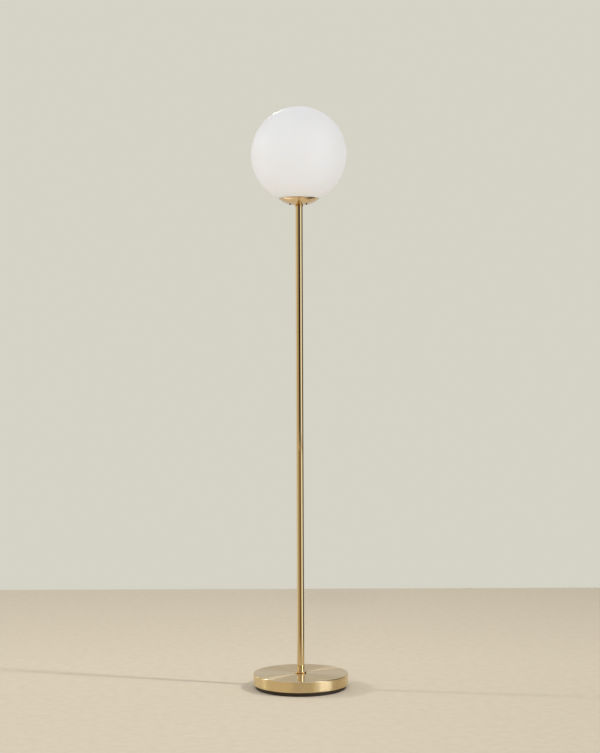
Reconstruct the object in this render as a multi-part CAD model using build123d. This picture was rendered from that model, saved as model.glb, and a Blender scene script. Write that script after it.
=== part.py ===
from build123d import *
import os
from math import cos, radians, sin, sqrt

# Globe floor lamp. Millimetres, +Z up, the floor is z = 0, the stem stands on the Z axis, and the
# cord leaves the base at the back, on the +Y side.

# ---- Base ----
base_diameter = 248.0
base_cover_height = 28.8
cover_wall = 1.5
cover_edge_radius = 2.0
foot_diameter = 236.0
foot_lift = 10.0                # floor to the lower edge of the brass cover
foot_lip_clearance = 0.6        # all round, between the foot and the curled lip of the cover
foot_skin = 2.5
foot_rim_width = 7.0
foot_hub_radius = 26.0
foot_hub_wall = 2.5
foot_hub_floor = 2.0            # of the well under the base nut, where the cord turns up
foot_rib_count = 12
foot_rib_thickness = 2.0
foot_rib_rise = 3.0             # floor to the lower edge of the ribs
foot_side_groove_count = 3
foot_side_groove_pitch = 2.5
foot_side_groove_height = 1.0
foot_side_groove_depth = 0.7
foot_side_groove_start = 2.4    # floor to the lowest groove
foot_ring_thickness = 2.0
foot_ring_proud = 0.8           # how far the rubber ring stands out below the foot
foot_ring_width = 4.0
foot_ring_inset = 1.5
foot_ring_clearance = 0.1
weight_clearance = 0.3          # all round, inside the cover
weight_edge_radius = 2.0
weight_recess_diameter = 46.0
weight_recess_depth = 17.0

# ---- Foot screws, M4 pan head ----
foot_screw_count = 4
foot_screw_circle = 160.0
foot_screw_diameter = 4.0
foot_screw_hole = 4.4
foot_screw_length = 14.0
foot_screw_head_diameter = 8.0
foot_screw_head_height = 3.1
foot_screw_head_edge = 1.0
foot_screw_head_clearance = 0.6
foot_boss_wall = 2.4
foot_boss_floor = 4.0           # material under the screw head

# ---- Cord bush ----
cord_bore = 7.0
cord_bush_wall = 1.3
cord_bush_barrel = 10.0
cord_bush_flange_diameter = 15.0
cord_bush_flange = 2.0
cord_bush_ridge = 0.5           # how far the snap ridge stands out of the barrel
cord_bush_ridge_gap = 0.4       # between the ridge and the inside of the cover
cord_bush_ridge_length = 1.6
cord_bush_rise = 8.0            # cover's lower edge to the middle of the bush
cord_bush_clearance = 0.1
channel_clearance = 0.5         # weight's channel to the snap ridge

# ---- Threaded rods, nuts and washers, M10 x 1 ----
thread_diameter = 10.0
nipple_bore = 7.4
thread_hole = 10.4              # plain hole that the rod passes through
nipple_engagement = 14.0        # how far a rod goes into a bush
nipple_tail = 2.0               # rod below the base nut
nut_across_flats = 17.0
base_nut_height = 6.0
head_nut_height = 3.5
base_washer_diameter = 30.0
base_washer_thickness = 2.0
lock_washer_diameter = 19.0
lock_washer_ring_diameter = 15.5
lock_washer_thickness = 0.8
lock_washer_teeth = 12
lock_washer_tooth_width = 1.8

# ---- Stem ----
tube_diameter = 19.0
tube_wall = 1.0
tube_end_chamfer = 0.35
lower_tube_length = 573.7
middle_tube_length = 316.0
upper_tube_length = 327.5
bush_length = 18.0
bush_lead_in = 0.8
stem_collar_diameter = 30.0
stem_collar_height = 4.4
stem_collar_web = 1.5           # the tube stands on this
stem_collar_clearance = 0.05
dish_collar_diameter = 21.5
dish_collar_height = 4.0
dish_collar_edge = 0.8

# ---- Dish ----
dish_rim_diameter = 105.4       # before its edge is rounded
dish_depth = 16.4
dish_wall = 1.2
dish_flat_diameter = 21.0       # flat land in the middle, from which the bowl curves up
dish_rim_radius = 0.25

# ---- Globe ----
globe_diameter = 250.0
globe_wall = 3.0
globe_opening = 76.0
globe_opening_edge = 0.8
globe_rim_gap = 1.5             # glass above the rim of the dish
seat_ring_inner_diameter = 80.0
seat_ring_width = 5.0
seat_ring_clearance = 0.3       # under the glass

# ---- Spring clips and their screws, M2.5 cheese head ----
clip_count = 3
clip_first_angle = 81.0         # about Z from +X
clip_screw_circle = 50.0
clip_screw_diameter = 2.5
clip_screw_hole = 2.8
clip_screw_length = 6.5
clip_screw_head_diameter = 4.5
clip_screw_head_height = 1.8
clip_screw_head_edge = 0.45
clip_nut_across_flats = 5.0
clip_nut_height = 2.0
clip_width = 8.0
clip_thickness = 0.6
clip_foot_half_length = 4.2
clip_foot_clearance = 0.2       # the flat foot bridges the hollow of the bowl
clip_bend_radius = 1.4
clip_knee_rise = 1.0            # knee above the inner corner of the glass
clip_tip_inset = 5.0
clip_tip_rise = 8.0
clip_glass_clearance = 0.3

# ---- Lampholder, E27 ----
holder_diameter = 41.0
holder_wall = 2.0
holder_boss_diameter = 17.0
holder_boss_height = 5.0
holder_floor = 2.5
holder_shoulder_height = 12.0
holder_cap_height = 14.0        # up to the step where the skirt lands
holder_neck_height = 8.0
holder_neck_wall = 2.0
holder_ledge_width = 2.5        # the porcelain core rests on it
holder_height = 54.0
holder_flange = 3.0
holder_grip_width = 1.7         # inner flange of the skirt over the core
holder_fit = 0.2
core_height = 12.0
core_edge_chamfer = 0.4
lock_screw_diameter = 3.0
lock_screw_rise = 2.5
terminal_screw_diameter = 3.0
terminal_screw_head_diameter = 5.5
terminal_screw_head_height = 1.6
terminal_screw_head_edge = 0.4
terminal_screw_length = 8.0
terminal_screw_spacing = 16.0
screw_shell_bore = 26.9
screw_shell_wall = 0.4
screw_shell_height = 26.0
contact_thickness = 0.5
contact_width = 5.0
contact_rise = 2.4              # core to the underside of the raised end
contact_length = 10.5
contact_foot_length = 3.0
contact_ramp_length = 2.5
contact_overhang = 3.5          # how far the raised end goes past the middle
contact_bend_radius = 0.8

# ---- Bulb, E27 pear form ----
bulb_diameter = 60.0
bulb_length = 108.0
bulb_tip_gap = 0.6              # above the centre contact
bulb_tip_diameter = 9.6
bulb_tip_height = 1.5
bulb_insulator_height = 4.5
bulb_cap_diameter = 26.2
bulb_cap_wall = 0.4
bulb_cap_height = 20.0
bulb_neck_diameter = 26.8
bulb_neck_height = 2.0
bulb_plug_length = 6.0          # body inside the cap
bulb_wall = 1.6
bulb_body_rim_drop = 12.0       # rim of the body below the widest place of the dome
bulb_body_neck_pull = 13.0      # how far the flare stays slim above the neck
bulb_body_rim_pull = 14.0       # how far the flare leads into the dome below the rim
bulb_board_thickness = 1.6
bulb_board_ledge = 3.0
bulb_board_clearance = 0.2

# ---- Places that follow from the sizes ----
base_radius = base_diameter / 2
foot_radius = foot_diameter / 2
cover_top = foot_lift + base_cover_height
weight_bottom = foot_lift + cover_wall
weight_top = cover_top - cover_wall
foot_bottom = foot_ring_proud
cord_height = foot_lift + cord_bush_rise
recess_top = weight_bottom + weight_recess_depth

tube_radius = tube_diameter / 2
tube_inner_radius = tube_radius - tube_wall
thread_radius = thread_diameter / 2
stem_foot = cover_top + stem_collar_web
lower_joint = stem_foot + lower_tube_length
upper_joint = lower_joint + middle_tube_length
stem_top = upper_joint + upper_tube_length

dish_bottom = stem_top + dish_collar_height
dish_floor = dish_bottom + dish_wall
dish_rim = dish_bottom + dish_depth
dish_rim_r = dish_rim_diameter / 2
dish_flat_r = dish_flat_diameter / 2
# The bowl is one arc that leaves the flat land tangentially and ends at the rim.
bowl_radius = ((dish_rim_r - dish_flat_r) ** 2 + dish_depth ** 2) / (2 * dish_depth)

globe_radius = globe_diameter / 2
globe_inner_radius = globe_radius - globe_wall
globe_opening_r = globe_opening / 2
globe_centre = dish_rim + globe_rim_gap + sqrt(globe_radius ** 2 - dish_rim_r ** 2)
globe_corner = globe_centre - sqrt(globe_inner_radius ** 2 - globe_opening_r ** 2)

holder_bottom = dish_floor + lock_washer_thickness + head_nut_height
core_bottom = holder_bottom + holder_shoulder_height
core_top = core_bottom + core_height
holder_top = holder_bottom + holder_height
holder_radius = holder_diameter / 2
neck_radius = holder_radius - holder_wall
core_radius = neck_radius - holder_neck_wall - holder_fit

bulb_tip_bottom = core_top + contact_rise + contact_thickness + bulb_tip_gap
bulb_insulator_bottom = bulb_tip_bottom + bulb_tip_height
bulb_cap_bottom = bulb_insulator_bottom + bulb_insulator_height
bulb_cap_top = bulb_cap_bottom + bulb_cap_height
bulb_radius = bulb_diameter / 2
bulb_centre = bulb_tip_bottom + bulb_length - bulb_radius
bulb_rim = bulb_centre - bulb_body_rim_drop
bulb_rim_r = sqrt(bulb_radius ** 2 - bulb_body_rim_drop ** 2)
bulb_rim_lean = bulb_body_rim_drop / bulb_rim_r     # sideways for each millimetre down


def turned(profile):
    # A closed outline, given as radius and height, turned about the Z axis.
    return revolve(Plane.XZ * make_face(profile), Axis.Z)


def outline(*points):
    return Polyline(*points, close=True)


def disc(radius, bottom, top):
    return Pos(0, 0, bottom) * Cylinder(
        radius, top - bottom, align=(Align.CENTER, Align.CENTER, Align.MIN))


def ring(outer_radius, inner_radius, bottom, top):
    return disc(outer_radius, bottom, top) - disc(inner_radius, bottom, top)


def ball(radius, height):
    return Pos(0, 0, height) * Sphere(radius)


def around(count, radius, first_angle=0.0):
    return PolarLocations(radius, count, start_angle=first_angle)


def ends(part):
    # The flat faces at the two ends of a turned part, lowest first.
    return part.faces().filter_by(GeomType.PLANE).sort_by(Axis.Z)


def hex_nut(across_flats, height, bore_diameter, bottom):
    flat_radius = across_flats / 2
    corner_radius = flat_radius / cos(radians(30))
    bevel = (corner_radius - flat_radius) / sqrt(3)
    prism = extrude(RegularPolygon(flat_radius, 6, major_radius=False), height)
    bevelled = turned(outline(
        (0, 0), (flat_radius, 0), (corner_radius, bevel), (corner_radius, height - bevel),
        (flat_radius, height), (0, height)))
    nut = (prism & bevelled) - disc(bore_diameter / 2, 0, height)
    return Pos(0, 0, bottom) * nut


def headed_screw(diameter, length, head_diameter, head_height, edge):
    # The head is below z = 0 and the shank above it.
    head = disc(head_diameter / 2, -head_height, 0)
    head = fillet(ends(head)[0].edges(), edge)
    return head + disc(diameter / 2, 0, length)


def strip(points, radii, thickness, width):
    # A bent strip: the line through the points, with its bends, given a thickness and a width.
    line = FilletPolyline(*points, radius=radii)
    section = make_face(offset(line, thickness / 2, kind=Kind.ARC))
    return extrude(Plane.XZ * section, width / 2, both=True)


# ---- Base ----

def base_cover():
    outer = disc(base_radius, foot_lift, cover_top)
    outer = fillet(outer.edges().filter_by(GeomType.CIRCLE), cover_edge_radius)
    inner = disc(base_radius - cover_wall, weight_bottom, weight_top)
    inner = fillet(inner.edges().filter_by(GeomType.CIRCLE), cover_edge_radius - cover_wall)
    cover = outer - inner - disc(foot_radius + foot_lip_clearance, foot_lift, weight_bottom)
    cover -= disc(thread_hole / 2, weight_top, cover_top)
    hole_radius = cord_bore / 2 + cord_bush_wall + cord_bush_clearance
    hole = cord_place() * disc(hole_radius, -cord_bush_barrel, cord_bush_flange)
    return cover - hole


def base_weight():
    weight = disc(base_radius - cover_wall - weight_clearance, weight_bottom, weight_top)
    weight = fillet(weight.edges().filter_by(GeomType.CIRCLE), weight_edge_radius)
    weight -= disc(weight_recess_diameter / 2, weight_bottom, recess_top)
    weight -= disc(thread_hole / 2, recess_top, weight_top)
    half_width = cord_bore / 2 + cord_bush_wall + cord_bush_ridge + channel_clearance
    channel = Box(2 * half_width, base_radius, cord_height + half_width - weight_bottom,
                  align=(Align.CENTER, Align.MIN, Align.MIN))
    weight -= Pos(0, 0, weight_bottom) * channel
    tapped = disc(foot_screw_diameter / 2, weight_bottom, foot_screw_seat() + foot_screw_length)
    for place in foot_screw_places():
        weight -= place * tapped
    return weight


def foot_plate():
    skin = disc(foot_radius, weight_bottom - foot_skin, weight_bottom)
    rim = ring(foot_radius, foot_radius - foot_rim_width, foot_bottom, weight_bottom)
    plate = skin + rim + disc(foot_hub_radius, foot_rib_rise, weight_bottom)
    rib_length = foot_radius - foot_rim_width / 2 - foot_hub_radius + foot_hub_wall / 2
    rib = Box(rib_length, foot_rib_thickness, weight_bottom - foot_rib_rise,
              align=(Align.MIN, Align.CENTER, Align.MIN))
    rib_start = foot_hub_radius - foot_hub_wall / 2
    for place in around(foot_rib_count, rib_start):
        plate += place * Pos(0, 0, foot_rib_rise) * rib
    pocket_radius = foot_screw_head_diameter / 2 + foot_screw_head_clearance
    boss = disc(pocket_radius + foot_boss_wall, foot_rib_rise, weight_bottom)
    pocket = disc(pocket_radius, foot_rib_rise, foot_screw_seat())
    hole = disc(foot_screw_hole / 2, foot_screw_seat(), weight_bottom)
    for place in foot_screw_places():
        plate = plate + place * boss - place * pocket - place * hole
    for row in range(foot_side_groove_count):
        low = foot_side_groove_start + row * foot_side_groove_pitch
        plate -= ring(foot_radius, foot_radius - foot_side_groove_depth,
                      low, low + foot_side_groove_height)
    plate -= disc(foot_hub_radius - foot_hub_wall, foot_rib_rise + foot_hub_floor, weight_bottom)
    ring_outer = foot_radius - foot_ring_inset
    return plate - ring(ring_outer + foot_ring_clearance,
                        ring_outer - foot_ring_width - foot_ring_clearance,
                        foot_bottom, foot_ring_thickness)


def foot_ring():
    outer = foot_radius - foot_ring_inset
    return ring(outer, outer - foot_ring_width, 0, foot_ring_thickness)


def foot_screw_seat():
    return weight_bottom - foot_boss_floor


def foot_screw_places():
    # The screw bosses stand on ribs.
    first_rib = 360 / foot_rib_count
    return around(foot_screw_count, foot_screw_circle / 2, first_rib)


def foot_screws():
    screw = headed_screw(foot_screw_diameter, foot_screw_length, foot_screw_head_diameter,
                         foot_screw_head_height, foot_screw_head_edge)
    seated = Pos(0, 0, foot_screw_seat()) * screw
    return Compound(children=[place * seated for place in foot_screw_places()])


def cord_place():
    # Its z axis points out of the back of the base, and z = 0 is the outside of the cover.
    return Plane(origin=(0, base_radius, cord_height), x_dir=(1, 0, 0), z_dir=(0, 1, 0)).location


def cord_bush():
    bore = cord_bore / 2
    barrel = bore + cord_bush_wall
    ridge = barrel + cord_bush_ridge
    flange = cord_bush_flange_diameter / 2
    # The cover curves away from the flange, so the ridge counts from the barrel's edge.
    inner_face = sqrt((base_radius - cover_wall) ** 2 - ridge ** 2) - base_radius
    ridge_front = inner_face - cord_bush_ridge_gap
    ridge_back = ridge_front - cord_bush_ridge_length
    bush = turned(outline(
        (bore, -cord_bush_barrel), (barrel, -cord_bush_barrel), (barrel, ridge_back),
        (ridge, ridge_front), (barrel, ridge_front), (barrel, 0), (flange, 0),
        (flange, cord_bush_flange), (bore, cord_bush_flange)))
    bush = fillet(ends(bush)[-1].outer_wire().edges(), cord_bush_flange / 2)
    return cord_place() * bush


def stem_collar():
    bead = stem_collar_height / 2
    bead_centre = stem_collar_diameter / 2 - bead
    socket = tube_radius + stem_collar_clearance
    body = disc(bead_centre, cover_top, cover_top + stem_collar_height)
    rounded = revolve(Plane.XZ * Pos(bead_centre, cover_top + bead) * Circle(bead), Axis.Z)
    collar = body + rounded - disc(socket, stem_foot, cover_top + stem_collar_height)
    return collar - disc(thread_hole / 2, cover_top, stem_foot)


def nipple(bottom, top):
    return ring(thread_radius, nipple_bore / 2, bottom, top)


def base_washer():
    return ring(base_washer_diameter / 2, thread_hole / 2,
                recess_top - base_washer_thickness, recess_top)


def base_nut_bottom():
    return recess_top - base_washer_thickness - base_nut_height


# ---- Stem ----

def stem_tube(bottom, top):
    tube = ring(tube_radius, tube_inner_radius, bottom, top)
    outer_edges = [end.outer_wire().edge() for end in ends(tube)]
    return chamfer(outer_edges, tube_end_chamfer)


def tube_bush(bottom, mouth_up):
    bush = ring(tube_inner_radius, thread_radius, bottom, bottom + bush_length)
    mouth = ends(bush)[-1 if mouth_up else 0]
    return chamfer(mouth.inner_wires()[0].edges(), bush_lead_in)


def dish_collar():
    collar = ring(dish_collar_diameter / 2, thread_hole / 2, stem_top, dish_bottom)
    return fillet([end.outer_wire().edge() for end in ends(collar)], dish_collar_edge)


# ---- Head ----

def bowl_height(radius, wall):
    # Height above the dish's lowest face of the bowl's arc, the given wall inside it.
    return bowl_radius - sqrt((bowl_radius - wall) ** 2 - (radius - dish_flat_r) ** 2)


def dish():
    bowl = Line((0, 0), (dish_flat_r, 0))
    bowl += RadiusArc((dish_flat_r, 0), (dish_rim_r, dish_depth), -bowl_radius)
    bowl += Polyline((dish_rim_r, dish_depth), (0, dish_depth), (0, 0))
    filled = turned(bowl)
    shell = offset(filled, -dish_wall, openings=ends(filled)[-1])
    shell = fillet(ends(shell)[-1].edges(), dish_rim_radius)
    shell -= disc(thread_hole / 2, 0, dish_wall)
    placed = Pos(0, 0, dish_bottom) * shell
    hole = disc(clip_screw_hole / 2, -dish_wall, 2 * dish_wall)
    for place in clip_places():
        placed -= place * hole
    return placed


def dish_washer():
    hub = ring(lock_washer_ring_diameter / 2, thread_hole / 2, 0, lock_washer_thickness)
    tooth_length = (lock_washer_diameter - lock_washer_ring_diameter) / 2
    overlap = tooth_length / 2
    tooth = Box(tooth_length + overlap, lock_washer_tooth_width, lock_washer_thickness,
                align=(Align.MIN, Align.CENTER, Align.MIN))
    for place in around(lock_washer_teeth, lock_washer_ring_diameter / 2 - overlap):
        hub += place * tooth
    return Pos(0, 0, dish_floor) * hub


def clip_slope():
    # Sine and cosine of the bowl's slope where the clip screws go through.
    slope = (clip_screw_circle / 2 - dish_flat_r) / bowl_radius
    return slope, sqrt(1 - slope ** 2)


def clip_places():
    # One frame for each clip: its origin on the outside of the bowl, x up the slope, z inwards.
    slope, level = clip_slope()
    radius = clip_screw_circle / 2
    places = []
    for number in range(clip_count):
        angle = radians(clip_first_angle + number * 360 / clip_count)
        east, north = cos(angle), sin(angle)
        origin = (radius * east, radius * north, dish_bottom + bowl_height(radius, 0))
        places.append(Plane(origin=origin, x_dir=(level * east, level * north, slope),
                            z_dir=(-slope * east, -slope * north, level)).location)
    return places


def at_clips(part):
    return Compound(children=[place * part for place in clip_places()])


def to_clip_frame(radius, height):
    # A point given as radius and height, in the frame of a clip.
    slope, level = clip_slope()
    out = radius - clip_screw_circle / 2
    up = height - dish_bottom - bowl_height(clip_screw_circle / 2, 0)
    return out * level + up * slope, up * level - out * slope


def clip_seat():
    # The flat foot touches the hollow bowl at its two ends.
    return dish_wall + clip_foot_clearance


def globe_clips():
    half = clip_thickness / 2
    reach = globe_opening_r - clip_glass_clearance - half
    knee_height = globe_corner + clip_knee_rise
    middle = clip_seat() + half
    foot_start = (-clip_foot_half_length, middle)
    foot_end = (clip_foot_half_length, middle)
    knee = to_clip_frame(reach, knee_height)
    tip = to_clip_frame(reach - clip_tip_inset, knee_height + clip_tip_rise)
    bends = [clip_bend_radius, clip_bend_radius]
    clip = strip([foot_start, foot_end, knee, tip], bends, clip_thickness, clip_width)
    clip -= disc(clip_screw_hole / 2, dish_wall, dish_wall + 2 * clip_thickness)
    return at_clips(clip)


def clip_screws():
    return at_clips(headed_screw(clip_screw_diameter, clip_screw_length,
                                 clip_screw_head_diameter, clip_screw_head_height,
                                 clip_screw_head_edge))


def clip_nuts():
    return at_clips(hex_nut(clip_nut_across_flats, clip_nut_height, clip_screw_diameter,
                            clip_seat() + clip_thickness))


def seat_ring():
    # It fills the wedge between the bowl and the glass.
    inner = seat_ring_inner_diameter / 2
    blank = ring(inner + seat_ring_width, inner, dish_floor, dish_rim)
    # The bowl's inner face has the centre of its outer arc, above the edge of the flat land.
    arc_radius = bowl_radius - dish_wall
    rise = bowl_radius - dish_depth
    arc_start = (dish_flat_r, dish_floor)
    arc_end = (dish_flat_r + sqrt(arc_radius ** 2 - rise ** 2), dish_rim)
    bowl = Line((0, dish_floor), arc_start)
    bowl += RadiusArc(arc_start, arc_end, -arc_radius)
    bowl += Polyline(arc_end, (0, dish_rim), (0, dish_floor))
    return (blank & turned(bowl)) - ball(globe_radius + seat_ring_clearance, globe_centre)


def globe():
    glass = ball(globe_radius, globe_centre) - ball(globe_inner_radius, globe_centre)
    glass -= disc(globe_opening_r, dish_bottom, globe_centre)
    edges = glass.edges().filter_by(GeomType.CIRCLE).filter_by(
        lambda edge: abs(edge.radius - globe_opening_r) < globe_opening_edge)
    return fillet(edges, globe_opening_edge)


# ---- Lampholder ----

def holder_cap():
    boss = holder_boss_diameter / 2
    cavity = core_radius + holder_fit
    ledge = cavity - holder_ledge_width
    step = holder_cap_height
    shoulder = holder_shoulder_height
    top = step + holder_neck_height
    cap = turned(outline(
        (thread_radius, 0), (boss, 0), (boss, holder_boss_height - holder_floor),
        (holder_radius, shoulder), (holder_radius, step), (neck_radius, step),
        (neck_radius, top), (cavity, top), (cavity, shoulder), (ledge, shoulder),
        (boss, holder_boss_height), (thread_radius, holder_boss_height)))
    cap = Pos(0, 0, holder_bottom) * cap
    return cap - lock_screw_hole()


def lock_screw_place():
    return Location((0, 0, holder_bottom + lock_screw_rise), (90, 0, 0))


def lock_screw_hole():
    return lock_screw_place() * disc(lock_screw_diameter / 2, thread_radius,
                                     holder_boss_diameter)


def holder_lock_screw():
    return lock_screw_place() * disc(lock_screw_diameter / 2, thread_radius + holder_fit,
                                     holder_boss_diameter / 2)


def terminal_places():
    half = terminal_screw_spacing / 2
    return [Pos(-half, 0, core_bottom), Pos(half, 0, core_bottom)]


def holder_core():
    core = disc(core_radius, core_bottom, core_top)
    core = chamfer(core.edges().filter_by(GeomType.CIRCLE), core_edge_chamfer)
    for place in terminal_places():
        core -= place * disc(terminal_screw_diameter / 2, 0, terminal_screw_length)
    return core


def terminal_screws():
    screw = headed_screw(terminal_screw_diameter, terminal_screw_length,
                         terminal_screw_head_diameter, terminal_screw_head_height,
                         terminal_screw_head_edge)
    return Compound(children=[place * screw for place in terminal_places()])


def holder_shell():
    opening = screw_shell_bore / 2 + screw_shell_wall + holder_fit
    grip = core_radius - holder_grip_width
    low = holder_bottom + holder_cap_height
    inner_flange = core_top + holder_wall
    shell = turned(outline(
        (holder_radius, low), (holder_radius, holder_top), (opening, holder_top),
        (opening, holder_top - holder_flange), (neck_radius, holder_top - holder_flange),
        (neck_radius, inner_flange), (grip, inner_flange), (grip, core_top),
        (neck_radius, core_top), (neck_radius, low)))
    return fillet(ends(shell)[-1].outer_wire().edges(), holder_wall / 2)


def screw_shell():
    bore = screw_shell_bore / 2
    return ring(bore + screw_shell_wall, bore, core_top, core_top + screw_shell_height)


def centre_contact():
    low = contact_thickness / 2
    high = contact_rise + low
    start = contact_overhang - contact_length
    ramp = start + contact_foot_length
    points = [(start, low), (ramp, low), (ramp + contact_ramp_length, high),
              (contact_overhang, high)]
    bends = [contact_bend_radius, contact_bend_radius]
    return Pos(0, 0, core_top) * strip(points, bends, contact_thickness, contact_width)


# ---- Bulb ----

def bulb_tip():
    tip = disc(bulb_tip_diameter / 2, bulb_tip_bottom, bulb_insulator_bottom)
    return fillet(ends(tip)[0].edges(), bulb_tip_height / 2)


def bulb_insulator():
    inside = bulb_cap_diameter / 2 - bulb_cap_wall
    rim = inside - 2 * bulb_cap_wall
    tip = bulb_tip_diameter / 2 + bulb_cap_wall
    return turned(outline(
        (0, bulb_insulator_bottom), (tip, bulb_insulator_bottom), (rim, bulb_cap_bottom),
        (rim, bulb_cap_bottom + bulb_cap_wall), (inside, bulb_cap_bottom + bulb_cap_wall),
        (inside, bulb_cap_bottom + bulb_wall), (0, bulb_cap_bottom + bulb_wall)))


def bulb_cap():
    outer = bulb_cap_diameter / 2
    inside = outer - bulb_cap_wall
    rim = inside - 2 * bulb_cap_wall
    floor = bulb_cap_bottom + bulb_cap_wall
    cap = turned(outline(
        (rim, bulb_cap_bottom), (outer, bulb_cap_bottom), (outer, bulb_cap_top),
        (inside, bulb_cap_top), (inside, floor), (rim, floor)))
    return fillet(ends(cap)[0].outer_wire().edges(), bulb_cap_wall)


def bulb_flare(inset):
    # The body's side, from the neck out to the rim, moved inwards by the inset.
    neck = bulb_neck_diameter / 2 - inset
    rim = bulb_rim_r - inset
    low = bulb_cap_top + bulb_neck_height
    return Bezier((neck, low), (neck, low + bulb_body_neck_pull),
                  (rim - bulb_rim_lean * bulb_body_rim_pull, bulb_rim - bulb_body_rim_pull),
                  (rim, bulb_rim))


def bulb_body():
    inside = bulb_cap_diameter / 2 - bulb_cap_wall
    neck = bulb_neck_diameter / 2
    plug_bottom = bulb_cap_top - bulb_plug_length
    low = bulb_cap_top + bulb_neck_height
    outer = Polyline((0, plug_bottom), (inside, plug_bottom), (inside, bulb_cap_top),
                     (neck, bulb_cap_top), (neck, low))
    outer += bulb_flare(0)
    outer += Polyline((bulb_rim_r, bulb_rim), (0, bulb_rim), (0, plug_bottom))
    hollow = Polyline((0, low), (neck - bulb_wall, low)) + bulb_flare(bulb_wall)
    hollow += Polyline((bulb_rim_r - bulb_wall, bulb_rim), (0, bulb_rim), (0, low))
    seat = ring(bulb_rim_r - bulb_wall / 2, bulb_rim_r - bulb_wall - bulb_board_ledge,
                bulb_rim - bulb_board_ledge, bulb_rim - bulb_board_thickness)
    body = turned(outer)
    return body - turned(hollow) + (seat & body)


def bulb_board():
    # The body narrows over the board's thickness.
    lean = bulb_rim_lean * bulb_board_thickness
    radius = bulb_rim_r - bulb_wall - lean - bulb_board_clearance
    return disc(radius, bulb_rim - bulb_board_thickness, bulb_rim)


def bulb_dome():
    dome = ball(bulb_radius, bulb_centre) - ball(bulb_radius - bulb_wall, bulb_centre)
    return split(dome, Plane.XY.offset(bulb_rim), keep=Keep.TOP)


def bush_nodes():
    # Each tube has a threaded bush in either end, with its mouth outwards.
    spans = {"lower_tube": (stem_foot, lower_joint), "middle_tube": (lower_joint, upper_joint),
             "upper_tube": (upper_joint, stem_top)}
    nodes = {}
    for name, (bottom, top) in spans.items():
        nodes[name] = stem_tube(bottom, top)
        nodes[name + "_foot_bush"] = tube_bush(bottom, False)
        nodes[name + "_top_bush"] = tube_bush(top - bush_length, True)
    return nodes


def all_nodes():
    nut_bottom = base_nut_bottom()
    nodes = {
        "base_cover": base_cover(),
        "base_weight": base_weight(),
        "foot_plate": foot_plate(),
        "foot_ring": foot_ring(),
        "foot_screws": foot_screws(),
        "cord_bush": cord_bush(),
        "stem_collar": stem_collar(),
        "base_nipple": nipple(nut_bottom - nipple_tail, stem_foot + nipple_engagement),
        "base_washer": base_washer(),
        "base_nut": hex_nut(nut_across_flats, base_nut_height, thread_diameter, nut_bottom),
        "lower_joint_nipple": nipple(lower_joint - nipple_engagement,
                                     lower_joint + nipple_engagement),
        "upper_joint_nipple": nipple(upper_joint - nipple_engagement,
                                     upper_joint + nipple_engagement),
        "head_nipple": nipple(stem_top - nipple_engagement, holder_bottom + holder_boss_height),
        "dish_collar": dish_collar(),
        "dish": dish(),
        "dish_washer": dish_washer(),
        "dish_nut": hex_nut(nut_across_flats, head_nut_height, thread_diameter,
                            dish_floor + lock_washer_thickness),
        "globe_clips": globe_clips(),
        "clip_screws": clip_screws(),
        "clip_nuts": clip_nuts(),
        "seat_ring": seat_ring(),
        "globe": globe(),
        "holder_cap": holder_cap(),
        "holder_lock_screw": holder_lock_screw(),
        "holder_core": holder_core(),
        "terminal_screws": terminal_screws(),
        "screw_shell": screw_shell(),
        "centre_contact": centre_contact(),
        "holder_shell": holder_shell(),
        "bulb_tip": bulb_tip(),
        "bulb_insulator": bulb_insulator(),
        "bulb_cap": bulb_cap(),
        "bulb_body": bulb_body(),
        "bulb_board": bulb_board(),
        "bulb_dome": bulb_dome(),
    }
    nodes.update(bush_nodes())
    return nodes


os.makedirs("parts", exist_ok=True)
for node, shape in all_nodes().items():
    export_step(shape, f"parts/{node}.step")
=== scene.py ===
import bpy
import bmesh
from math import acos, asin, cos, degrees, pi, radians, sin, sqrt
from mathutils import Matrix, Vector


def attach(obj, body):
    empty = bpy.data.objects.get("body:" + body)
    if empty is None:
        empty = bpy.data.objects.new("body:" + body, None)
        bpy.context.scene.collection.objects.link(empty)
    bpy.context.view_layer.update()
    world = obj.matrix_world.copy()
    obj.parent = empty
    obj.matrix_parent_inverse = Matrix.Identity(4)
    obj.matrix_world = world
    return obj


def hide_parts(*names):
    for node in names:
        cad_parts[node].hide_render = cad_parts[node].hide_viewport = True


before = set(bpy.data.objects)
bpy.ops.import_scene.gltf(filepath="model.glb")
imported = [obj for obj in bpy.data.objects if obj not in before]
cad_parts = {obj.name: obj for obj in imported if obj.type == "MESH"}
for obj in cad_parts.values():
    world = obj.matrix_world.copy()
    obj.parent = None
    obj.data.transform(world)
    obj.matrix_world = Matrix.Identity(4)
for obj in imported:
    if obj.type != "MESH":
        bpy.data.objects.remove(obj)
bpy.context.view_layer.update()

mm = 0.001
print("frame loaded:", len(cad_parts), "nodes")


# Small helpers

def paint(hexCode):
    # an sRGB colour such as "#C9A66B" as the linear colour that Blender's sockets hold
    shares = [int(hexCode[k:k + 2], 16) / 255 for k in (1, 3, 5)]
    linear = [s / 12.92 if s <= 0.04045 else ((s + 0.055) / 1.055) ** 2.4 for s in shares]
    return (*linear, 1.0)


def addNode(tree, kind, inputs=None, **settings):
    # inputs: socket name or number to a value, a socket, or a node whose first output is meant
    node = tree.nodes.new(kind)
    for name, value in settings.items():
        setattr(node, name, value)
    for name, value in (inputs or {}).items():
        if isinstance(value, bpy.types.Node):
            value = value.outputs[0]
        if isinstance(value, bpy.types.NodeSocket):
            tree.links.new(value, node.inputs[name])
        else:
            node.inputs[name].default_value = value
    return node


def newMaterial(name, settings):
    # a material with its Principled shader, and the settings that are the same all over
    material = bpy.data.materials.new(name)
    material.use_nodes = True
    shader = material.node_tree.nodes["Principled BSDF"]
    for socket, value in settings.items():
        shader.inputs[socket].default_value = value
    return material, material.node_tree, shader


# Patterns follow the object's own coordinates, in real millimetres.

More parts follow.
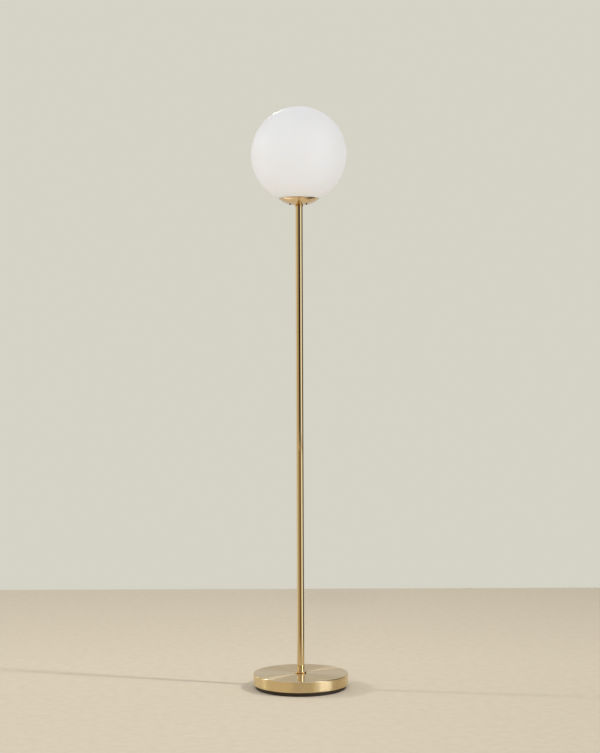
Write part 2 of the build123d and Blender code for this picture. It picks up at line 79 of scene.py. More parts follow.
noiseFrom, noiseTo = 0.3, 0.7  # nearly all of a noise lies between these


def grain(tree, size, detail=2.0, stretch=(1, 1, 1)):
    # soft noise with features of the given size in millimetres
    spot = addNode(tree, "ShaderNodeTexCoord").outputs["Object"]
    spot = addNode(tree, "ShaderNodeVectorMath", {0: spot, 1: stretch}, operation="MULTIPLY")
    noise = addNode(tree, "ShaderNodeTexNoise",
                    {"Vector": spot, "Scale": 1 / (size * mm), "Detail": detail})
    return noise.outputs["Fac"]


def dress(tree, shader, clouds, colours, fine, roughness, depth=0.0, relief=None):
    # The clouds shift the colour from the first to the second, and the fine pattern shifts the
    # roughness. The relief, or else the fine pattern, stands as high as the depth in millimetres.
    mixed = addNode(tree, "ShaderNodeMix",
                    {0: clouds, 6: paint(colours[0]), 7: paint(colours[1])}, data_type="RGBA")
    tree.links.new(mixed.outputs[2], shader.inputs["Base Color"])
    dull = addNode(tree, "ShaderNodeMapRange",
                   {0: fine, 1: noiseFrom, 2: noiseTo, 3: roughness[0], 4: roughness[1]})
    tree.links.new(dull.outputs[0], shader.inputs["Roughness"])
    if depth:
        bump = addNode(tree, "ShaderNodeBump",
                       {"Height": relief or fine, "Distance": depth * mm})
        tree.links.new(bump.outputs[0], shader.inputs["Normal"])
    return mixed.outputs[2]


# Camera, in metres and degrees; lens and sensor in millimetres

camera = {"distance": 4.138, "height": 0.837, "lens": 75.7, "sensor": 36.0,
          "pitch": 0.323, "yaw": 0.012, "roll": -0.222}


def placeCamera():
    data = bpy.data.cameras.new("camera")
    data.lens = camera["lens"]
    data.sensor_width = camera["sensor"]
    body = bpy.data.objects.new("camera", data)
    aim = (Matrix.Rotation(radians(-camera["yaw"]), 4, "Z")
           @ Matrix.Rotation(radians(90 - camera["pitch"]), 4, "X")
           @ Matrix.Rotation(radians(camera["roll"]), 4, "Z"))
    body.matrix_world = Matrix.Translation((0, -camera["distance"], camera["height"])) @ aim
    bpy.context.scene.collection.objects.link(body)
    bpy.context.scene.camera = body


placeCamera()
bpy.context.scene.view_settings.view_transform = "Standard"


# Studio light. Azimuth is counted from the camera's side of the lamp, to the right as seen from
# there. Only reflections show the panels, so they draw the stripes in the brass. All that isn't
# shiny gets the even light and the lamps below.

studio = {"backdrop": "#D5D3C6", "even": "#FFFFFF", "evenLevel": 0.85,
          "overhead": "#D2DDFA", "overheadLevel": 0.96, "edge": 1.2}
# degrees round the lamp, and degrees above and below the horizon; a later panel covers an earlier
panels = [
    {"from": 137, "to": 223, "low": -40, "high": 50, "colour": "#DEDBD6", "strength": 0.80},
    {"from": -137, "to": -129, "low": -30, "high": 7, "colour": "#FFFFFF", "strength": 1.4},
    {"from": -137, "to": -129, "low": 7, "high": 24, "colour": "#FFFFFF", "strength": 3.4},
    {"from": -129, "to": -105, "low": -30, "high": 40, "colour": "#FFF6EA", "strength": 0.7},
    {"from": -105, "to": -94, "low": -30, "high": 7, "colour": "#FFFFFF", "strength": 1.4},
    {"from": -105, "to": -94, "low": 7, "high": 24, "colour": "#FFFFFF", "strength": 3.4},
    {"from": -94, "to": -36, "low": -30, "high": 40, "colour": "#FFF0DC", "strength": 0.60},
    {"from": -36, "to": -20, "low": -30, "high": 40, "colour": "#FFE9CC", "strength": 0.40},
    {"from": -20, "to": 29, "low": -3.1, "high": 14, "colour": "#FFD9A0", "strength": 0.01},
    {"from": -45, "to": -24, "low": 18, "high": 40, "colour": "#FFF0DC", "strength": 1.6},
    {"from": 31, "to": 44, "low": 18, "high": 40, "colour": "#FFF0DC", "strength": 1.6},
    {"from": -20, "to": 29, "low": -30, "high": -3.1, "colour": "#FFD27F", "strength": 0.22},
    {"from": 29, "to": 34, "low": -30, "high": 30, "colour": "#FFF4E6", "strength": 0.6},
    {"from": 34, "to": 80, "low": -30, "high": 7, "colour": "#F4F6FF", "strength": 1.3},
    {"from": 46, "to": 78, "low": 7, "high": 24, "colour": "#DCE6FF", "strength": 8.0},
    {"from": 80, "to": 137, "low": -20, "high": 30, "colour": "#FFEED8", "strength": 0.06},
    {"from": 84, "to": 134, "low": 24, "high": 64, "colour": "#FFEED8", "strength": 0.05},
]
# Suns from both sides and the front, on the floor only. They give it its soft shadows.
floorLamps = [
    {"name": "leftLamp", "azimuth": -100.3, "elevation": 29, "power": 1.35, "softness": 2.5},
    {"name": "rightLamp", "azimuth": 72.4, "elevation": 48, "power": 1.7, "softness": 2.5},
    {"name": "frontLamp", "azimuth": -4.0, "elevation": 40, "power": 0.6, "softness": 8.0},
]
# Spots on the globe from below and both sides, which no reflection shows. They stand at the
# distance from the point on the lamp's axis that is as high as their aim, in metres.
globeSpot = {"distance": 2.0, "aim": 1.39, "softness": 0.3, "cone": 17, "blend": 0.8}
globeLamps = [
    {"name": "lowLamp", "azimuth": -8.0, "elevation": -38, "power": 58.0, "colour": "#CFE2FF"},
    {"name": "eastLamp", "azimuth": 80.0, "elevation": -22, "power": 26.0, "colour": "#DCE8FF"},
    {"name": "westLamp", "azimuth": -80.0, "elevation": -4, "power": 11.0, "colour": "#F2F6FF"},
]
# Small bright windows a long way off, for reflections only: they are the streak across the brushed
# top and the glints on the collars.
windowDistance = 12.0
windows = [
    {"name": "leftWindow", "azimuth": -100.3, "elevation": 29, "size": 0.8, "power": 120.0},
    {"name": "rightWindow", "azimuth": 72.4, "elevation": 48, "size": 0.8, "power": 120.0},
    {"name": "backWindow", "azimuth": -168.0, "elevation": 33, "size": 0.4, "power": 22.0},
]


def bandMask(tree, value, low, high, edge):
    # 1 between low and high, and soft over the edge
    middle = addNode(tree, "ShaderNodeMath", {0: value, 1: (low + high) / 2}, operation="SUBTRACT")
    middle = addNode(tree, "ShaderNodeMath", {0: middle, 1: pi, 2: -pi}, operation="WRAP")
    middle = addNode(tree, "ShaderNodeMath", {0: middle}, operation="ABSOLUTE")
    half = (high - low) / 2
    return addNode(tree, "ShaderNodeMapRange", {0: middle, 1: half + edge, 2: half - edge},
                   interpolation_type="SMOOTHSTEP")


def scaled(colour, strength):
    return (*(strength * share for share in colour[:3]), 1.0)


def hang(entry, data, distance=3.0, aim=0.0):
    # a light at its azimuth and elevation that looks at the lamp's axis at the height of its aim;
    # the distance makes no difference to a sun
    lamp = bpy.data.objects.new(entry["name"], data)
    side, lift = radians(entry["azimuth"]), radians(entry["elevation"])
    away = Vector((cos(lift) * sin(side), -cos(lift) * cos(side), sin(lift)))
    lamp.location = distance * away + Vector((0, 0, aim))
    lamp.rotation_euler = (-away).to_track_quat("-Z", "Y").to_euler()
    lamp.visible_camera = False
    bpy.context.scene.collection.objects.link(lamp)
    return lamp


def makeWorld():
    # the camera sees the backdrop, reflections see the panels, and all else gets even light
    world = bpy.data.worlds.new("studio")
    bpy.context.scene.world = world
    world.use_nodes = True
    tree = world.node_tree
    tree.nodes.clear()
    where = addNode(tree, "ShaderNodeTexCoord")
    part = addNode(tree, "ShaderNodeSeparateXYZ", {0: where.outputs["Generated"]})
    back = addNode(tree, "ShaderNodeMath", {0: part.outputs["Y"], 1: -1.0}, operation="MULTIPLY")
    azimuth = addNode(tree, "ShaderNodeMath", {0: part.outputs["X"], 1: back},
                      operation="ARCTAN2")
    elevation = addNode(tree, "ShaderNodeMath", {0: part.outputs["Z"]}, operation="ARCSINE")
    edge = radians(studio["edge"])
    shade = scaled(paint(studio["overhead"]), studio["overheadLevel"])
    for panel in panels:
        across = bandMask(tree, azimuth, radians(panel["from"]), radians(panel["to"]), edge)
        along = bandMask(tree, elevation, radians(panel["low"]), radians(panel["high"]), edge)
        mask = addNode(tree, "ShaderNodeMath", {0: across, 1: along}, operation="MULTIPLY")
        glow = scaled(paint(panel["colour"]), panel["strength"])
        shade = addNode(tree, "ShaderNodeMixRGB", {0: mask, 1: shade, 2: glow})
    even = addNode(tree, "ShaderNodeBackground",
                   {"Color": paint(studio["even"]), "Strength": studio["evenLevel"]})
    seen = addNode(tree, "ShaderNodeBackground", {"Color": shade})
    plainBack = addNode(tree, "ShaderNodeBackground", {"Color": paint(studio["backdrop"])})
    ray = addNode(tree, "ShaderNodeLightPath")
    metal = addNode(tree, "ShaderNodeMixShader",
                    {0: ray.outputs["Is Glossy Ray"], 1: even, 2: seen})
    full = addNode(tree, "ShaderNodeMixShader",
                   {0: ray.outputs["Is Camera Ray"], 1: metal, 2: plainBack})
    addNode(tree, "ShaderNodeOutputWorld", {0: full})


def hangLamps():
    for entry in globeLamps:
        data = bpy.data.lights.new(entry["name"], "SPOT")
        data.spot_size = radians(globeSpot["cone"])
        data.spot_blend = globeSpot["blend"]
        data.shadow_soft_size = globeSpot["softness"]
        data.energy = entry["power"]
        data.color = paint(entry["colour"])[:3]
        hang(entry, data, globeSpot["distance"], globeSpot["aim"]).visible_glossy = False
    for entry in windows:
        data = bpy.data.lights.new(entry["name"], "AREA")
        data.size = entry["size"]
        data.energy = entry["power"]
        hang(entry, data, windowDistance).visible_diffuse = False


def lightFloor(ground):
    lit = bpy.data.collections.new("floorOnly")
    lit.objects.link(ground)
    for entry in floorLamps:
        data = bpy.data.lights.new(entry["name"], "SUN")
        data.angle = radians(entry["softness"])
        data.energy = entry["power"]
        lamp = hang(entry, data)
        lamp.visible_glossy = False
        lamp.light_linking.receiver_collection = lit


makeWorld()
hangLamps()
print("studio lit")


# Floor, in metres, with the mottle's size in millimetres. Each painted shade is where it starts
# and ends on its axis, and how much of the tone is left there.

floor = {"colours": ("#B3A997", "#AFA593"), "mottleSize": 24, "roughness": (0.32, 0.40),
         "specular": 0.0, "backPaintedShade": (0.35, 1.85, 0.84), "rightPaintedShade": (0.0, 1.1, 0.93),
         "left": -12.0, "right": 12.0, "front": -12.0, "back": 1.849}
# The floor's mirror image of the panels, painted as glowing fans that only reflections show, since
# the floor itself has no shine. The fans start some way off the lamp, and their height is in
# millimetres. The floor ends where the panels from the azimuth "behind" on stand, so those have no
# fan.
paintedReflection = {"near": 0.30, "full": 0.8, "far": 12.0, "steps": 24, "height": 0.5, "behind": 137}


def layFloor():
    # troweled plaster floor: matt and even, with soft broad clouds and no shine, and painted shade
    # toward the back and the right
    mesh = bpy.data.meshes.new("studioFloor")
    corners = [(floor["left"], floor["front"], 0), (floor["right"], floor["front"], 0),
               (floor["right"], floor["back"], 0), (floor["left"], floor["back"], 0)]
    mesh.from_pydata(corners, [], [(0, 1, 2, 3)])
    ground = bpy.data.objects.new("studioFloor", mesh)
    bpy.context.scene.collection.objects.link(ground)
    material, tree, shader = newMaterial(
        "troweledFloor", {"Specular IOR Level": floor["specular"]})
    clouds = grain(tree, floor["mottleSize"], detail=3.0)
    share = addNode(tree, "ShaderNodeMapRange", {0: clouds, 1: noiseFrom, 2: noiseTo})
    shade = dress(tree, shader, share, floor["colours"], clouds, floor["roughness"])
    # painted shade: the colour deepens a little toward the back and the right, for the light's
    # falloff
    spot = addNode(tree, "ShaderNodeTexCoord").outputs["Object"]
    part = addNode(tree, "ShaderNodeSeparateXYZ", {0: spot})
    for axis, (start, end, tone) in (("Y", floor["backPaintedShade"]), ("X", floor["rightPaintedShade"])):
        share = addNode(tree, "ShaderNodeMapRange",
                        {0: part.outputs[axis], 1: start, 2: end, 3: 1.0, 4: tone})
        shade = addNode(tree, "ShaderNodeVectorMath", {0: shade, "Scale": share},
                        operation="SCALE").outputs[0]
    tree.links.new(shade, shader.inputs["Base Color"])
    mesh.materials.append(material)
    lightFloor(ground)


def paintedReflectionFan(panel):
    # painted reflection: one panel's sector of the floor as a glowing sheet, clear near the lamp
    # and when seen from below
    steps, span = paintedReflection["steps"], panel["to"] - panel["from"]
    angles = [radians(panel["from"] + span * k / steps) for k in range(steps + 1)]
    corners = [(reach * sin(angle), -reach * cos(angle), paintedReflection["height"] * mm)
               for reach in (paintedReflection["near"], paintedReflection["far"]) for angle in angles]
    faces = [(steps + 1 + k, steps + 2 + k, k + 1, k) for k in range(steps)]
    mesh = bpy.data.meshes.new("floorGloss")
    mesh.from_pydata(corners, [], faces)
    fan = bpy.data.objects.new("floorGloss", mesh)
    bpy.context.scene.collection.objects.link(fan)
    material = bpy.data.materials.new("floorGloss")
    material.use_nodes = True
    tree = material.node_tree
    tree.nodes.clear()
    spot = addNode(tree, "ShaderNodeTexCoord").outputs["Object"]
    away = addNode(tree, "ShaderNodeVectorMath", {0: spot}, operation="LENGTH")
    share = addNode(tree, "ShaderNodeMapRange",
                    {0: away.outputs["Value"], 1: paintedReflection["near"], 2: paintedReflection["full"]})
    under = addNode(tree, "ShaderNodeNewGeometry").outputs["Backfacing"]
    share = addNode(tree, "ShaderNodeMath", {0: share, 1: under}, operation="SUBTRACT",
                    use_clamp=True)
    # the painted reflection glows in the panel's colour and strength
    glow = addNode(tree, "ShaderNodeEmission",
                   {"Color": paint(panel["colour"]), "Strength": panel["strength"]})
    clear = addNode(tree, "ShaderNodeBsdfTransparent")
    mixed = addNode(tree, "ShaderNodeMixShader", {0: share, 1: clear, 2: glow})
    addNode(tree, "ShaderNodeOutputMaterial", {0: mixed})
    mesh.materials.append(material)
    for kind in ("camera", "diffuse", "transmission", "shadow", "volume_scatter"):
        setattr(fan, "visible_" + kind, False)


layFloor()
# painted reflections in the floor, for the panels that reach below the horizon
for panel in panels:
    if panel["low"] < 0 and panel["from"] < paintedReflection["behind"]:
        paintedReflectionFan(panel)
print("floor laid")


# Finishes of the lamp. Pitch, size and depth are in millimetres everywhere.

def ringGrain(tree, pitch, patches):
    # Lines round the lamp's axis, as wide as the pitch. The noise is fine across them and changes
    # slowly along them, in so many patches round the axis.
    spot = addNode(tree, "ShaderNodeTexCoord").outputs["Object"]
    part = addNode(tree, "ShaderNodeSeparateXYZ", {0: spot})
    flat = addNode(tree, "ShaderNodeCombineXYZ", {0: part.outputs["X"], 1: part.outputs["Y"]})
    radius = addNode(tree, "ShaderNodeVectorMath", {0: flat}, operation="LENGTH").outputs["Value"]
    across = addNode(tree, "ShaderNodeMath", {0: radius, 1: 1 / (pitch * mm)},
                     operation="MULTIPLY")
    outward = addNode(tree, "ShaderNodeVectorMath", {0: flat}, operation="NORMALIZE")
    outward = addNode(tree, "ShaderNodeSeparateXYZ", {0: outward})
    east = addNode(tree, "ShaderNodeMath", {0: outward.outputs["X"], 1: patches / pi},
                   operation="MULTIPLY")
    north = addNode(tree, "ShaderNodeMath", {0: outward.outputs["Y"], 1: patches / pi},
                    operation="MULTIPLY")
    spot = addNode(tree, "ShaderNodeCombineXYZ", {0: across, 1: east, 2: north})
    height = addNode(tree, "ShaderNodeMath", {0: part.outputs["Z"], 1: 1 / (pitch * mm)},
                     operation="MULTIPLY")
    noise = addNode(tree, "ShaderNodeTexNoise",
                    {"Vector": spot, "W": height, "Scale": 1.0, "Detail": 2.0},
                    noise_dimensions="4D")
    return noise.outputs["Fac"]


def spreadAcross(tree, shader, amount):
    # Lines round the axis spread a reflection across themselves, away from the axis. The tangent
    # runs along the lines, and a quarter turn takes the spread across them.
    shader.inputs["Anisotropic"].default_value = amount
    shader.inputs["Anisotropic Rotation"].default_value = 0.25
    spot = addNode(tree, "ShaderNodeTexCoord").outputs["Object"]
    tangent = addNode(tree, "ShaderNodeVectorMath", {0: (0, 0, 1), 1: spot},
                      operation="CROSS_PRODUCT")
    tree.links.new(tangent.outputs[0], shader.inputs["Tangent"])


def lacqueredBrass(name, brass):
    return newMaterial(name, {"Metallic": 1.0, "Coat Weight": brass["lacquer"],
                              "Coat Roughness": brass["lacquerRoughness"]})


polished = {"colours": ("#DCC594", "#D8BF8B"), "size": 1.2, "lineStretch": 0.02,
            "roughness": (0.025, 0.045), "lacquer": 0.5, "lacquerRoughness": 0.03}


def polishedBrass():
    # mirror-bright lacquered tube: sharp stripes, with the slightest drawn lines along it
    material, tree, shader = lacqueredBrass("polishedLacqueredBrass", polished)
    lines = grain(tree, polished["size"], detail=3.0, stretch=(1, 1, polished["lineStretch"]))
    dress(tree, shader, lines, polished["colours"], lines, polished["roughness"])
    return material


brushed = {"colours": ("#E5CFA0", "#E1C997"), "pitch": 0.5, "patches": 14,
           "widePitch": 4.0, "widePatches": 6, "depth": 0.003, "roughness": (0.21, 0.26),
           "spread": 0.95}


def brushedBrass():
    # Circular brushing: the reflections run out from the centre, and fine rings show close by. The
    # real lines are about a tenth of a millimetre wide and are drawn coarser here.
    material, tree, shader = newMaterial("circularBrushedBrass", {"Metallic": 1.0})
    spreadAcross(tree, shader, brushed["spread"])
    lines = ringGrain(tree, brushed["pitch"], brushed["patches"])
    wide = ringGrain(tree, brushed["widePitch"], brushed["widePatches"])
    dress(tree, shader, wide, brushed["colours"], lines, brushed["roughness"], brushed["depth"])
    return material


spun = {"colours": ("#EFD5AA", "#E7C998"), "pitch": 0.8, "patches": 10, "depth": 0.004,
        "roughness": (0.13, 0.19), "spread": 0.6, "lacquer": 0.5, "lacquerRoughness": 0.05}


def spunBrass():
    # spun bowl, polished over faint spinning rings: light pools softly across it
    material, tree, shader = lacqueredBrass("polishedSpunBrass", spun)
    spreadAcross(tree, shader, spun["spread"])
    lines = ringGrain(tree, spun["pitch"], spun["patches"])
    dress(tree, shader, lines, spun["colours"], lines, spun["roughness"], spun["depth"])
    return material


turned = {"colours": ("#D3AC6C", "#CA9E5A"), "pitch": 0.3, "patches": 8, "depth": 0.003,
          "roughness": (0.06, 0.10), "lacquer": 0.5, "lacquerRoughness": 0.04}


def turnedBrass():
    # small rings from the lathe: bright and a little redder, with fine tool lines
    material, tree, shader = lacqueredBrass("turnedLacqueredBrass", turned)
    lines = ringGrain(tree, turned["pitch"], turned["patches"])
    dress(tree, shader, lines, turned["colours"], lines, turned["roughness"], turned["depth"])
    return material


def milky(depth):
    # light sinks in by the depth and comes out softened, a little less of the blue than of the red
    return {"Subsurface Weight": 1.0, "Subsurface Radius": (1.0, 0.95, 0.9),
            "Subsurface Scale": depth * mm}


opal = {"colours": ("#FAF9F6", "#F8F9F8"), "cloud": 60, "roughness": (0.40, 0.48),
        "lightDepth": 1.5, "sheenSize": 1.5, "etchSize": 0.6, "etchDepth": 0.004}


def opalGlass():
    # acid-etched opal: milky with a little depth at the rim, a dull sheen and no clear highlight
    material, tree, shader = newMaterial("etchedOpalGlass", milky(opal["lightDepth"]))
    clouds, sheen = grain(tree, opal["cloud"], detail=1.0), grain(tree, opal["sheenSize"])
    etch = grain(tree, opal["etchSize"], detail=3.0)
    dress(tree, shader, clouds, opal["colours"], sheen, opal["roughness"], opal["etchDepth"], etch)
    return material


metals = {
    # bright zinc plating: cool and silvery, with faint darker clouds
    "zinc_steel": {"name": "brightZincPlatedSteel", "colours": ("#C6C9CC", "#A9AEB3"),
                   "roughness": (0.26, 0.40), "size": 2.5, "depth": 0.006},
    # steel blackened in hot oil: brown-black with a dull warm gleam
    "black_steel": {"name": "oilBlackenedSteel", "colours": ("#54432B", "#3F321F"),
                    "roughness": (0.40, 0.55), "size": 0.8, "depth": 0.006},
    # cold-rolled strip: plain grey, with a grain that runs up the clip
    "spring_steel": {"name": "rolledSpringSteel", "colours": ("#A7A8A6", "#8E8F8F"),
                     "roughness": (0.22, 0.34), "size": 1.5, "depth": 0.003,
                     "stretch": (1, 1, 0.1)},
    # nickel plating on the bulb's cap: warm silver, smooth and bright
    "bulb_nickel": {"name": "nickelPlatedBrass", "colours": ("#CFC9BE", "#BDB6A8"),
                    "roughness": (0.16, 0.28), "size": 2.0, "depth": 0.003},
    # stamped brass strip without lacquer: yellow, slightly tarnished in patches
    "contact_brass": {"name": "stampedContactBrass", "colours": ("#CDB272", "#B5975A"),
                      "roughness": (0.24, 0.36), "size": 1.5, "depth": 0.004},
    # brushed aluminium plate: pale grey with straight fine lines
    "board_aluminium": {"name": "brushedAluminiumBoard", "colours": ("#CBCCCD", "#B7B9BB"),
                        "roughness": (0.28, 0.42), "size": 0.7, "depth": 0.006,
                        "stretch": (1, 0.05, 1)},
    # iron from a sand mould: dark, dull and pitted
    "cast_iron": {"name": "sandCastIron", "colours": ("#4A4745", "#33302E"),
                  "roughness": (0.55, 0.75), "size": 1.4, "depth": 0.15},
}


def plainMetal(name, colours, roughness, size, depth, stretch=(1, 1, 1)):
    # a fine grain in the gloss and the relief, and patches four times as broad in the colour
    material, tree, shader = newMaterial(name, {"Metallic": 1.0})
    patches = grain(tree, size * 4, stretch=stretch)
    fine = grain(tree, size, detail=4.0, stretch=stretch)
    dress(tree, shader, patches, colours, fine, roughness, depth)
    return material


mouldings = {
    # ABS from a spark-eroded mould: brown-black, with a fine even texture that dulls it
    "black_moulding": {"name": "sparkTexturedBlackAbs", "colours": ("#33281A", "#3D301F"),
                       "roughness": (0.40, 0.50), "size": 0.5, "depth": 0.01, "ior": 1.45},
    # soft rubber: matt black with a dusty bloom
    "black_rubber": {"name": "matBlackRubber", "colours": ("#191817", "#232120"),
                     "roughness": (0.60, 0.75), "size": 0.8, "depth": 0.02, "ior": 1.52},
    # pressed phenolic resin: hard black with a clean gleam
    "holder_moulding": {"name": "blackPhenolicMoulding", "colours": ("#1D1A18", "#272321"),
                        "roughness": (0.24, 0.34), "size": 1.2, "depth": 0.006, "ior": 1.6},
    # glazed porcelain: warm white and wet-looking, over a faintly wavy body
    "porcelain": {"name": "glazedPorcelain", "colours": ("#EFECE4", "#E5E1D6"),
                  "roughness": (0.12, 0.20), "size": 4.0, "depth": 0.01, "ior": 1.5},
    # black glass round the bulb's tip: deep and shiny
    "bulb_black": {"name": "blackGlassInsulator", "colours": ("#141216", "#1E1B20"),
                   "roughness": (0.08, 0.16), "size": 2.0, "depth": 0.004, "ior": 1.6},
}


def moulding(name, colours, roughness, size, depth, ior):
    # the mould's texture in the gloss and the relief, and patches six times as broad in the colour
    material, tree, shader = newMaterial(name, {"IOR": ior})
    patches, fine = grain(tree, size * 6), grain(tree, size, detail=3.0)
    dress(tree, shader, patches, colours, fine, roughness, depth)
    return material


milkyPlastics = {
    # clear silicone rubber: cloudy white, with light in its edges
    "clear_silicone": {"name": "translucentSilicone", "colours": ("#E9E9E4", "#DEDFDA"),
                       "roughness": (0.35, 0.45), "lightDepth": 2.0},
    # filled white plastic: nearly solid, with a satin skin
    "bulb_white": {"name": "whiteBulbHousing", "colours": ("#F1EFEA", "#EAE7E0"),
                   "roughness": (0.28, 0.36), "lightDepth": 0.4},
    # opal plastic dome: even soft white
    "bulb_opal": {"name": "opalBulbDiffuser", "colours": ("#F5F4F0", "#EFEEE9"),
                  "roughness": (0.38, 0.46), "lightDepth": 1.2},
}
milkySkin = {"cloud": 9, "size": 0.8, "depth": 0.004}


def milkyPlastic(name, colours, roughness, lightDepth):
    # light in the skin, with faint clouds in the colour and a fine texture on top
    material, tree, shader = newMaterial(name, milky(lightDepth))
    clouds = grain(tree, milkySkin["cloud"])
    fine = grain(tree, milkySkin["size"], detail=3.0)
    dress(tree, shader, clouds, colours, fine, roughness, milkySkin["depth"])
    return material


# by the slots that the frame's pieces name
finishes = {"brushed_brass": brushedBrass(), "polished_brass": polishedBrass(),
            "dish_brass": spunBrass(), "turned_brass": turnedBrass(), "opal_glass": opalGlass()}
finishes.update({slot: plainMetal(**values) for slot, values in metals.items()})
finishes.update({slot: moulding(**values) for slot, values in mouldings.items()})
finishes.update({slot: milkyPlastic(**values) for slot, values in milkyPlastics.items()})
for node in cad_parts.values():
    for slot in node.material_slots:
        slot.material = finishes[slot.material.name]
print("finishes given")


# The pieces of the lamp that the shared frame's plain solids can't show well are made here, and
# they take the place of those solids. Everything sits at the origin, in metres. The dictionaries
# hold millimetres and degrees.

# Node trees

def openTree(name, *sockets):
    # a new tree with a geometry input, the named inputs and a geometry output
    tree = bpy.data.node_groups.new(name, "GeometryNodeTree")
    tree.interface.new_socket("Geometry", in_out="INPUT", socket_type="NodeSocketGeometry")
    for label, kind, value in sockets:
        socket = tree.interface.new_socket(label, in_out="INPUT", socket_type="NodeSocket" + kind)
        if value is not None:
            socket.default_value = value
    tree.interface.new_socket("Geometry", in_out="OUTPUT", socket_type="NodeSocketGeometry")
    return tree, tree.nodes.new("NodeGroupInput")


def closeTree(tree, source, geometry):
    # smooth faces with the sharp edges kept, and the finish, as the last steps
    soft = addNode(tree, "GeometryNodeSetShadeSmooth", {0: geometry, 2: True}, domain="FACE")
    angle = addNode(tree, "GeometryNodeInputMeshEdgeAngle")
    sharp = addNode(tree, "FunctionNodeCompare", {0: angle, 1: source.outputs["Sharp From"]},
                    operation="GREATER_THAN")
    edged = addNode(tree, "GeometryNodeSetShadeSmooth", {0: soft, 1: sharp, 2: False},
                    domain="EDGE")
    real = addNode(tree, "GeometryNodeRealizeInstances", {0: edged})
    done = addNode(tree, "GeometryNodeSetMaterial", {0: real, 2: source.outputs["Finish"]})
    addNode(tree, "NodeGroupOutput", {0: done})
    return tree


def latheTree():
    # Turns a profile about the Z axis. The profile's points come in order, x is their radius, and
    # "thread" says how much of the thread each one takes.
    tree, source = openTree(
        "lathe", ("Segments", "Int", 96), ("Thread Depth", "Float", 0.0),
        ("Thread Pitch", "Float", 1.0), ("Thread Roundness", "Float", 0.0),
        ("Sharp From", "Float", radians(30)), ("Finish", "Material", None))
    profile, segments = source.outputs["Geometry"], source.outputs["Segments"]
    count = addNode(tree, "GeometryNodeAttributeDomainSize", {0: profile})
    columns = addNode(tree, "ShaderNodeMath", {0: segments, 1: 1.0}, operation="ADD")
    grid = addNode(tree, "GeometryNodeMeshGrid", {2: count.outputs["Point Count"], 3: columns})
    index = addNode(tree, "GeometryNodeInputIndex")
    row = addNode(tree, "ShaderNodeMath", {0: index, 1: columns}, operation="DIVIDE")
    row = addNode(tree, "ShaderNodeMath", {0: row}, operation="FLOOR")
    column = addNode(tree, "ShaderNodeMath", {0: index, 1: columns}, operation="MODULO")
    position = addNode(tree, "GeometryNodeInputPosition")
    spot = addNode(tree, "GeometryNodeSampleIndex", {0: profile, 1: position, "Index": row},
                   data_type="FLOAT_VECTOR", domain="POINT")
    spot = addNode(tree, "ShaderNodeSeparateXYZ", {0: spot})
    weight = addNode(tree, "GeometryNodeInputNamedAttribute", {0: "thread"}, data_type="FLOAT")
    weight = addNode(tree, "GeometryNodeSampleIndex", {0: profile, 1: weight, "Index": row},
                     data_type="FLOAT", domain="POINT")
    share = addNode(tree, "ShaderNodeMath", {0: column, 1: segments}, operation="DIVIDE")
    angle = addNode(tree, "ShaderNodeMath", {0: share, 1: 2 * pi}, operation="MULTIPLY")
    # height along the thread in turns, and from it a triangle wave and a rounded one, both 0 to 1
    along = addNode(tree, "ShaderNodeMath",
                    {0: spot.outputs["Z"], 1: source.outputs["Thread Pitch"]}, operation="DIVIDE")
    along = addNode(tree, "ShaderNodeMath", {0: along, 1: share}, operation="SUBTRACT")
    triangle = addNode(tree, "ShaderNodeMath", {0: along, 1: 0.5}, operation="PINGPONG")
    triangle = addNode(tree, "ShaderNodeMath", {0: triangle, 1: 2.0}, operation="MULTIPLY")
    rounded = addNode(tree, "ShaderNodeMath", {0: triangle, 1: pi}, operation="MULTIPLY")
    rounded = addNode(tree, "ShaderNodeMath", {0: rounded}, operation="COSINE")
    rounded = addNode(tree, "ShaderNodeMath", {0: rounded, 1: -0.5, 2: 0.5},
                      operation="MULTIPLY_ADD")
    wave = addNode(tree, "ShaderNodeMix",
                   {0: source.outputs["Thread Roundness"], 2: triangle, 3: rounded})
    cut = addNode(tree, "ShaderNodeMath", {0: wave, 1: source.outputs["Thread Depth"]},
                  operation="MULTIPLY")
    cut = addNode(tree, "ShaderNodeMath", {0: cut, 1: weight}, operation="MULTIPLY")
    radius = addNode(tree, "ShaderNodeMath", {0: spot.outputs["X"], 1: cut}, operation="SUBTRACT")
    east = addNode(tree, "ShaderNodeMath", {0: angle}, operation="COSINE")
    east = addNode(tree, "ShaderNodeMath", {0: east, 1: radius}, operation="MULTIPLY")
    north = addNode(tree, "ShaderNodeMath", {0: angle}, operation="SINE")
    north = addNode(tree, "ShaderNodeMath", {0: north, 1: radius}, operation="MULTIPLY")
    target = addNode(tree, "ShaderNodeCombineXYZ", {0: east, 1: north, 2: spot.outputs["Z"]})
    bent = addNode(tree, "GeometryNodeSetPosition", {0: grid.outputs["Mesh"], 2: target})
    # the seam and the poles are welded where points are within a thousandth of a millimetre
    closed = addNode(tree, "GeometryNodeMergeByDistance", {0: bent, "Distance": 1e-6})
    return closeTree(tree, source, closed)


